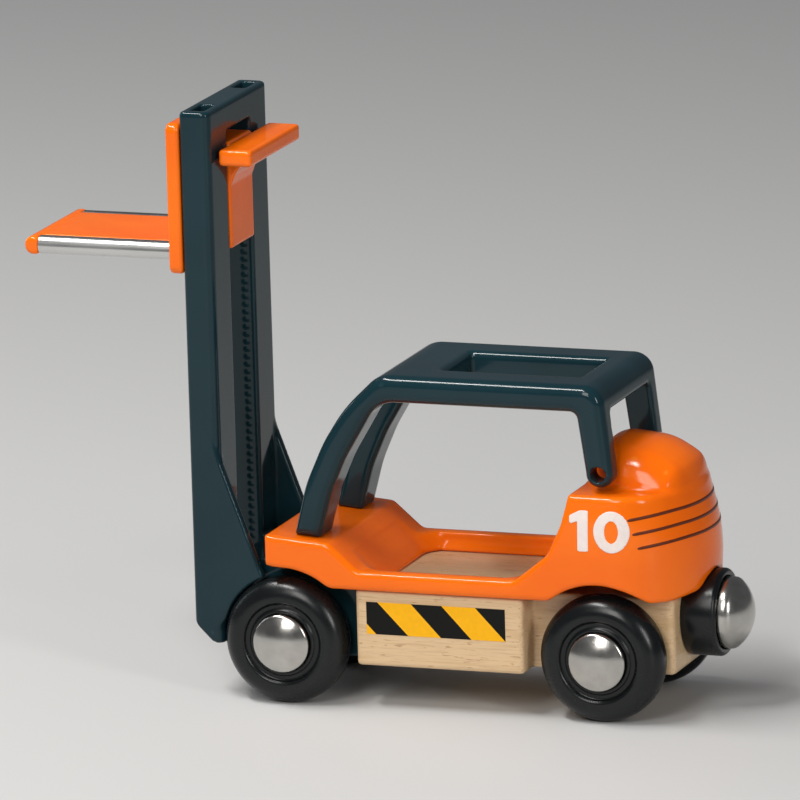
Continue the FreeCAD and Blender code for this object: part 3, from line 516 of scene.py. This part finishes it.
CAGE_OUTER = [(13.2, 26.75), (11.2, 34.7), (8.1, 41.6), (4.6, 47.1), (-1.3, 52.8), (-37.6, 52.8),
              (-39.15, 39.0), (-39.15, 36.8), (-34.75, 36.8), (-34.75, 39.0), (-33.4, 48.5), (-1.0, 48.5),
              (1.6, 44.1), (4.6, 39.1), (7.1, 33.4), (9.0, 26.4)]
CAGE_RADII = [0.3, 24, 24, 24, 5, 3.2, 0, 2.1, 2.1, 0, 1.2, 5, 20, 20, 20, 0.3]
CAGE_HALF, WINDOW_HALF, REAR_WINDOW_HALF = 13.5, 6.4, 9.5
ROOF_WINDOW = [(-32, -9), (-10, -9), (-10, WINDOW_HALF), (-32, WINDOW_HALF)]
WINDSCREEN = [(0.5, 60), (0.5, 50.5), (-2.5, 48), (-2.5, 20), (20, 20), (20, 60)]
REAR_WINDOW = [(-30, 48.5), (-45, 48.5), (-45, 30), (-30, 30)]
PIVOT_X, PIVOT_HEIGHT, PIVOT_BORE = -36.95, 39.0, 1.25


def cage_field(x, y, z):
    side = outline_distance(x, z, rounded(CAGE_OUTER, CAGE_RADII))
    bar = both(side, np.abs(y) - CAGE_HALF, 1.7)
    bar = both(bar, -both(outline_distance(x, np.abs(y), ROOF_WINDOW), 45 - z, 0.1), 1.0)
    bar = both(bar, -both(np.abs(y) - WINDOW_HALF, outline_distance(x, z, WINDSCREEN), 0.1), 0.9)
    bar = both(bar, -both(np.abs(y) - REAR_WINDOW_HALF, outline_distance(x, z, REAR_WINDOW), 0.8), 0.6)
    return both(bar, PIVOT_BORE - np.hypot(x - PIVOT_X, z - PIVOT_HEIGHT), 0.25)


def make_cage():
    low, high = node_box("roll_cage")
    points, faces = skin_of(cage_field, low, high, 0.35)
    make_object("cage_frame", points, faces, "cage", SLATE, ["roll_cage"])


# ---------------------------------------------------------------- beech block

BLOCK_PLAN = [(2.85, -14.5), (2.85, 14.5), (-24.6, 14.5), (-24.6, 9.6), (-47.5, 9.6), (-47.5, -9.6),
              (-24.6, -9.6), (-24.6, -14.5)]
BLOCK_RADII = [0.9, 0.9, 0.9, 0.3, 0.9, 0.9, 0.3, 0.9]
BLOCK_LOW, BLOCK_TOP = 7.0, 19.0
SEAT_RADIUS, SEAT_TOP = 2.1, 8.1


def screw_seats(x, y, z, places):
    """The round seats of screw heads in the underside."""
    seats = np.inf
    for place, side in places:
        seats = np.minimum(seats, np.hypot(x - place, np.abs(y) - side) - SEAT_RADIUS)
    return np.maximum(seats, z - SEAT_TOP)


def block_field(x, y, z):
    plan = outline_distance(x, y, rounded(BLOCK_PLAN, BLOCK_RADII))
    solid = both(plan, slab(z, BLOCK_LOW, BLOCK_TOP), 0.5)
    mortise = np.maximum(np.maximum(-7.1 - x, np.abs(y) - 7.05), z - 12.05)
    solid = both(solid, -mortise, 0.15)
    solid = both(solid, -screw_seats(x, y, z, [(-41.3, 5.5)]), 0.15)
    return np.maximum(solid, AXLE_BORE - np.hypot(x - REAR_AXLE, z - AXLE_HEIGHT))


def make_block():
    low, high = node_box("chassis_block")
    points, faces = skin_of(block_field, low, high, 0.35)
    make_object("beech_block", points, faces, "chassis", BEECH, ["chassis_block"])


# ---------------------------------------------------------------- mast, carriage and handle

MAST_REAR, MAST_FRONT, MAST_HALF = 25.1, 29.95, 13.2
MAST_LOW, MAST_TOP = 8.7, 93.0
MAST_PLAN = [(MAST_REAR, -MAST_HALF), (MAST_REAR, MAST_HALF), (MAST_FRONT, MAST_HALF),
             (MAST_FRONT, -MAST_HALF)]
GUSSET = [(26.6, 42.0), (MAST_REAR, 38.0), (18.15, 19.0), (26.6, 10.7)]
CORE = [(2.85, BLOCK_LOW), (26.1, BLOCK_LOW), (26.1, 21.9), (6.45, 21.9), (6.45, BLOCK_TOP),
        (2.85, BLOCK_TOP)]
SLOT_LOW, SLOT_TOP, SLOT_HALF, TOOTH_DEPTH = 10.5, 88.7, 5.1, 0.25
TOOTH_LOW, TOOTH_PITCH, TOOTH_HIGH = 21.1, 1.2, 86.7


def mast_field(x, y, z):
    side = np.abs(y)
    plan = outline_distance(x, y, rounded(MAST_PLAN, [1.3, 1.3, 0.7, 0.7]))
    column = both(plan, slab(z, MAST_LOW, MAST_TOP), 0.6)
    foot_slope = (x - z - 18.15) / math.sqrt(2)
    column = both(column, foot_slope, 0.4)
    gusset = both(outline_distance(x, z, rounded(GUSSET, [0, 2.0, 0.8, 0])), slab(side, 11.5, MAST_HALF), 0.5)
    shell = either(column, gusset, 0.5)
    shell = both(shell, 10.3 - np.hypot(x - FRONT_AXLE, z - AXLE_HEIGHT), 0.3)
    core = both(outline_distance(x, z, rounded(CORE, [0.3] * 6)), side - 9.6, 0.4)
    tongue = both(both(slab(x, -7.0, 3.4), side - 7.0, 0.2), slab(z, BLOCK_LOW, 12.0), 0.2)
    solid = np.minimum(either(shell, core, 0.4), tongue)
    slot = both(both(side - SLOT_HALF, slab(z, SLOT_LOW, SLOT_TOP), 0.5), 24.5 - x, 0.1)
    solid = both(solid, -slot, 0.35)
    from_middle = np.abs((z - TOOTH_LOW) % TOOTH_PITCH - TOOTH_PITCH / 2)
    groove = side - (SLOT_HALF + TOOTH_DEPTH) + 0.9 * from_middle
    rack = np.maximum(slab(x, 26.3, 27.1), slab(z, TOOTH_LOW, TOOTH_HIGH))
    solid = np.maximum(solid, -np.maximum(rack, groove))
    recess = np.maximum(both(slab(x, 26.4, 28.65), slab(side, 6.7, 11.6), 0.3), 91.4 - z)
    solid = both(solid, -recess, 0.25)
    solid = both(solid, -screw_seats(x, y, z, [(7.6, 5.5), (-2.6, 4.0)]), 0.15)
    return np.maximum(solid, AXLE_BORE - np.hypot(x - FRONT_AXLE, z - AXLE_HEIGHT))


PLATE_REAR, PLATE_FRONT, PLATE_LOW, PLATE_TOP = 30.1, 32.35, 67.2, 91.0
DECK_END, DECK_HALF, DECK_LOW, DECK_TOP = 56.25, 9.3, 69.1, 71.6
ROD_SIDE, ROD_HEIGHT, ROD_ROOM, ROD_END = 9.4, 70.25, 1.5, 55.0
SCREW_HEIGHTS = (75.6, 84.0)


def carriage_field(x, y, z):
    side = np.abs(y)
    plate = both(side - MAST_HALF, slab(z, PLATE_LOW, PLATE_TOP), 1.3)
    plate = both(plate, slab(x, PLATE_REAR, PLATE_FRONT), 0.6)
    deck = both(both(side - DECK_HALF, slab(x, 31.1, DECK_END), 0.3), slab(z, DECK_LOW, DECK_TOP), 0.3)
    nose = both(both(slab(x, 54.35, 57.25), slab(z, 68.8, 71.7), 1.35), side - 10.85, 0.6)
    solid = either(either(plate, deck, 0.5), nose, 0.2)
    grooves = np.maximum(np.hypot(side - ROD_SIDE, z - ROD_HEIGHT) - ROD_ROOM, slab(x, 32.3, ROD_END))
    solid = both(solid, -grooves, 0.1)
    seats = np.minimum(*[np.hypot(y, z - height) for height in SCREW_HEIGHTS]) - SEAT_RADIUS
    return both(solid, -np.maximum(seats, 31.25 - x), 0.15)


HANDLE_WEB = [(25.4, 79.7), (24.8, 79.7), (24.2, 81.5), (23.0, 83.1), (21.2, 84.3), (21.2, 86.4),
              (25.4, 86.4)]
HANDLE_WEB_RADII = [0, 1.5, 2.5, 2.5, 0, 0, 0]
SLIDER_HALF, SLIDER_LOW, HANDLE_TOP = 5.0, 69.9, 86.8
GRIP_REAR, GRIP_FRONT, GRIP_LOW, GRIP_HALF = 19.0, 24.4, 84.2, 11.1


def handle_field(x, y, z):
    side = np.abs(y)
    slider = both(side - SLIDER_HALF, slab(z, SLIDER_LOW, HANDLE_TOP), 0.5)
    slider = both(slider, slab(x, 24.8, PLATE_REAR), 0.4)
    web = outline_distance(x, z, rounded(HANDLE_WEB, HANDLE_WEB_RADII))
    web = both(web, side - SLIDER_HALF, 0.4)
    grip = both(slab(x, GRIP_REAR, GRIP_FRONT), slab(z, GRIP_LOW, HANDLE_TOP), 0.6)
    grip = both(grip, side - GRIP_HALF, 0.7)
    solid = either(either(slider, web, 0.3), grip, 0.3)
    spring_room = np.maximum(np.maximum(slab(x, 26.05, 27.45), slab(z, 71.9, 80.9)), 3.8 - y)
    return np.maximum(solid, -spring_room)


def make_mast_parts():
    for node, piece, field, body, slot, material, step in (
            ("mast", "mast_frame", mast_field, "chassis", "slate_plastic", SLATE, 0.3),
            ("fork_carriage", "carriage_plate", carriage_field, "carriage", "orange_plastic", ORANGE, 0.3),
            ("lift_handle", "handle", handle_field, "carriage", "orange_plastic", ORANGE, 0.25)):
        low, high = node_box(node)
        points, faces = skin_of(field, low, high, step)
        make_object(piece, points, faces, body, material, [node])


# ---------------------------------------------------------------- printing, and the painted shade of the hood's grooves

INK_AND_SHADE_HEIGHT = 0.04
STRIPE_TOP, STRIPE_LOW, PANEL = 17.2, 12.1, 14.5
LINE_HEIGHTS = (33.2, 31.0, 28.8)
NUMBER_X, NUMBER_HEIGHT = -37.6, 30.6
STRIPES_BLACK = [[(0.95, STRIPE_TOP), (-0.9, STRIPE_TOP), (-5.85, STRIPE_LOW), (-0.6, STRIPE_LOW),
                  (0.95, 13.7)],
                 [(-6.4, STRIPE_TOP), (-11.4, STRIPE_TOP), (-16.2, STRIPE_LOW), (-11.2, STRIPE_LOW)],
                 [(-16.9, STRIPE_TOP), (-21.75, STRIPE_TOP), (-21.75, STRIPE_LOW)]]
STRIPES_YELLOW = [[(0.95, 13.7), (-0.6, STRIPE_LOW), (0.95, STRIPE_LOW)],
                  [(-0.9, STRIPE_TOP), (-6.4, STRIPE_TOP), (-11.2, STRIPE_LOW), (-5.85, STRIPE_LOW)],
                  [(-11.4, STRIPE_TOP), (-16.9, STRIPE_TOP), (-21.75, STRIPE_LOW), (-16.2, STRIPE_LOW)]]


def print_on_panel(name, polygons, side, material):
    """Flat shapes printed on a side panel of the block, as very thin closed plates."""
    points, faces = [], []
    for polygon in polygons:
        first, count = len(points), len(polygon)
        for height in (PANEL + INK_AND_SHADE_HEIGHT, PANEL - 0.1):
            points += [(x, side * height, z) for x, z in polygon]
        faces.append([first + k for k in range(count)][::-side])
        faces.append([first + count + k for k in range(count)][::side])
        for k in range(count):
            j = (k + 1) % count
            faces.append([first + j, first + k, first + count + k, first + count + j][::-side])
    piece = make_object(name, points, faces, "chassis", material)
    piece.data.shade_flat()


def hood_point(turn, z, proud):
    """A point on the hood's rounded rear; turn runs from 0 at the left side to 180 degrees at the right."""
    half, depth = smooth_curve(z, HOOD_HALF), smooth_curve(z, HOOD_DEPTH)
    normal = np.array([-np.sin(turn) * half, np.cos(turn) * depth])
    normal = normal / np.hypot(*normal)
    return np.array([HOOD_MID - depth * np.sin(turn) + proud * normal[0],
                     half * np.cos(turn) + proud * normal[1], z])


def paint_groove_shade():
    """Painted shade for three engraved grooves that wrap round the hood's rear: thin dark strips on the
    surface, dipping a little towards their blunt ends.
    """
    points, faces, around = [], [], 120
    for number, middle in enumerate(LINE_HEIGHTS):
        start = 15 + 3 * number
        turns = np.radians(np.linspace(start, 180 - start, around))
        from_end = np.minimum(turns - turns[0], turns[-1] - turns)
        half_width = 0.10 + 0.13 * np.sqrt(np.clip(from_end / math.radians(3), 0, 1))
        dip = 0.75 * np.clip(1 - from_end / math.radians(40), 0, 1) ** 1.5
        first = len(points)
        for offset, proud in ((-1, INK_AND_SHADE_HEIGHT), (1, INK_AND_SHADE_HEIGHT), (1, -0.1), (-1, -0.1)):
            points += hood_point(turns, middle - dip + offset * half_width, proud).T.tolist()
        for k in range(around - 1):
            for a, b in ((0, 1), (1, 2), (2, 3), (3, 0)):
                faces.append([first + b * around + k, first + a * around + k,
                              first + a * around + k + 1, first + b * around + k + 1])
        ends = [first + a * around for a in range(4)]
        faces += [ends, [e + around - 1 for e in reversed(ends)]]
    # Painted shade: dark strips laid where the hood's grooves would hold shade.
    make_object("hood_groove_shade", points, faces, "chassis", GROOVE_SHADE)


ONE = [(-0.5, -3.2), (1.2, -3.2), (1.2, 3.2), (-0.1, 3.2), (-1.8, 2.35), (-1.8, 1.0), (-0.5, 1.5)]


def digits(u, v):
    """The outline field of the number ten, about 10 mm wide."""
    one = outline_distance(u + 2.9, v, rounded(ONE, [0.2, 0.2, 0.2, 0.2, 0.25, 0.25, 0.1]))
    outer = (np.hypot((u - 2.05) / 2.85, v / 3.25) - 1) * 2.85
    inner = (np.hypot((u - 2.05) / 1.1, v / 1.75) - 1) * 1.1
    return np.minimum(one, np.maximum(outer, -inner))


def print_number(name, side):
    """The number, laid on the side of the hood; its grid's outer points are pulled onto the outline."""
    step = 0.12
    u, v = np.meshgrid(np.arange(-5.2, 5.3, step), np.arange(-3.6, 3.7, step), indexing="ij")
    value = digits(u, v)
    nudge = 0.01
    across = (digits(u + nudge, v) - value) / nudge
    along = (digits(u, v + nudge) - value) / nudge
    size = np.maximum(np.hypot(across, along), 0.2)
    rim = value > -0.55 * step
    u, v = u - np.where(rim, value * across / size ** 2, 0), v - np.where(rim, value * along / size ** 2, 0)
    inside = value < 0.45 * step
    cells = inside[:-1, :-1] & inside[1:, :-1] & inside[1:, 1:] & inside[:-1, 1:]
    index = np.arange(value.size).reshape(value.shape)
    quads = np.array([index[:-1, :-1][cells], index[1:, :-1][cells], index[1:, 1:][cells],
                      index[:-1, 1:][cells]]).T
    used, faces = np.unique(quads, return_inverse=True)
    faces = faces.reshape(quads.shape)
    x, z = NUMBER_X - side * u.ravel()[used], NUMBER_HEIGHT + v.ravel()[used]
    half, depth = smooth_curve(z, HOOD_HALF), smooth_curve(z, HOOD_DEPTH)
    back = np.clip((HOOD_MID - x) / depth, 0, 0.99)
    y = side * (half * np.sqrt(1 - back ** 2) + INK_AND_SHADE_HEIGHT)
    piece = make_object(name, np.array([x, y, z]).T, faces, "chassis", INK_WHITE)
    thickness = piece.modifiers.new("thickness", "SOLIDIFY")
    thickness.thickness = 0.14 * MM
    thickness.offset = -1


def make_prints_and_groove_shade():
    for name, side in (("left", 1), ("right", -1)):
        print_on_panel("stripes_black_" + name, STRIPES_BLACK, side, INK_BLACK)
        print_on_panel("stripes_yellow_" + name, STRIPES_YELLOW, side, INK_YELLOW)
        print_number("number_" + name, side)
    paint_groove_shade()


# ---------------------------------------------------------------- CAD nodes that stay

def paint_cad_nodes():
    paints = {"beech": BEECH, "orange_plastic": ORANGE, "slate_plastic": SLATE, "black_plastic": BLACK,
              "bright_steel": ROD_STEEL, "axle_steel": DULL, "magnet": MAGNET, "spring_steel": DULL,
              "zinc_screws": DULL}
    for part in frame["record"]["subparts"]:
        node = frame["nodes"][part["node"]]
        for index in range(len(node.material_slots)):
            node.material_slots[index].material = paints[part["material_slot"]]


# ---------------------------------------------------------------- camera, light and floor

def make_floor():
    size = 3.0
    mesh = bpy.data.meshes.new("floor")
    corners = [(-size, -size, 0), (size, -size, 0), (size, size, 0), (-size, size, 0)]
    mesh.from_pydata(corners, [], [(0, 1, 2, 3)])
    floor = bpy.data.objects.new("floor", mesh)
    bpy.context.scene.collection.objects.link(floor)
    material, nodes, _ = new_material("floor_paper")
    nodes["Principled BSDF"].inputs["Base Color"].default_value = (0.56, 0.56, 0.555, 1)
    nodes["Principled BSDF"].inputs["Roughness"].default_value = 0.6
    mesh.materials.append(material)


def make_light(name, place, size, power, colour):
    data = bpy.data.lights.new(name, "AREA")
    data.shape = "RECTANGLE"
    data.size, data.size_y = size
    data.energy = power
    data.color = colour
    light = bpy.data.objects.new(name, data)
    light.location = place
    light.rotation_euler = (Vector((0, 0, 0.04)) - Vector(place)).to_track_quat("-Z", "Y").to_euler()
    bpy.context.scene.collection.objects.link(light)


def make_lights():
    make_light("top_strip", (0.23, 0.16, 0.62), (0.5, 0.07), 4.2, (1, 0.99, 0.97))
    make_light("key_box", (0.03, 0.75, 0.55), (0.30, 0.40), 3.1, (1, 0.98, 0.95))
    make_light("front_box", (0.80, -0.20, 0.40), (0.25, 0.5), 1.5, (0.97, 0.98, 1))
    make_light("rear_box", (-0.75, 0.50, 0.36), (0.14, 0.34), 2.4, (1, 0.99, 0.97))
    world = bpy.data.worlds.new("studio")
    world.use_nodes = True
    world.node_tree.nodes["Background"].inputs["Color"].default_value = (0.93, 0.95, 1, 1)
    world.node_tree.nodes["Background"].inputs["Strength"].default_value = 0.12
    bpy.context.scene.world = world


def make_camera():
    """The camera stands off the rear left, a little above the toy, with a long lens."""
    yaw, pitch, roll = math.radians(20.92), math.radians(12.45), math.radians(-1.66)
    aim = Vector((27.73, 0, 58.32)) * MM
    away = Vector((-math.sin(yaw) * math.cos(pitch), math.cos(yaw) * math.cos(pitch), math.sin(pitch)))
    distance = 1.778
    place = aim + away * distance
    centre = Vector((-0.3, 0, 46.0)) * MM
    data = bpy.data.cameras.new("camera")
    data.sensor_width = 36.0
    data.lens = 513.45
    camera = bpy.data.objects.new("camera", data)
    camera.location = place
    look = (centre - place).to_track_quat("-Z", "Y").to_matrix()
    camera.rotation_euler = (look @ Matrix.Rotation(roll, 3, "Z")).to_euler()
    bpy.context.scene.collection.objects.link(camera)
    bpy.context.scene.camera = camera


paint_cad_nodes()
make_wheels()
make_coupler()
make_cab()
make_cage()
make_block()
make_mast_parts()
make_prints_and_groove_shade()
make_floor()
make_lights()
make_camera()
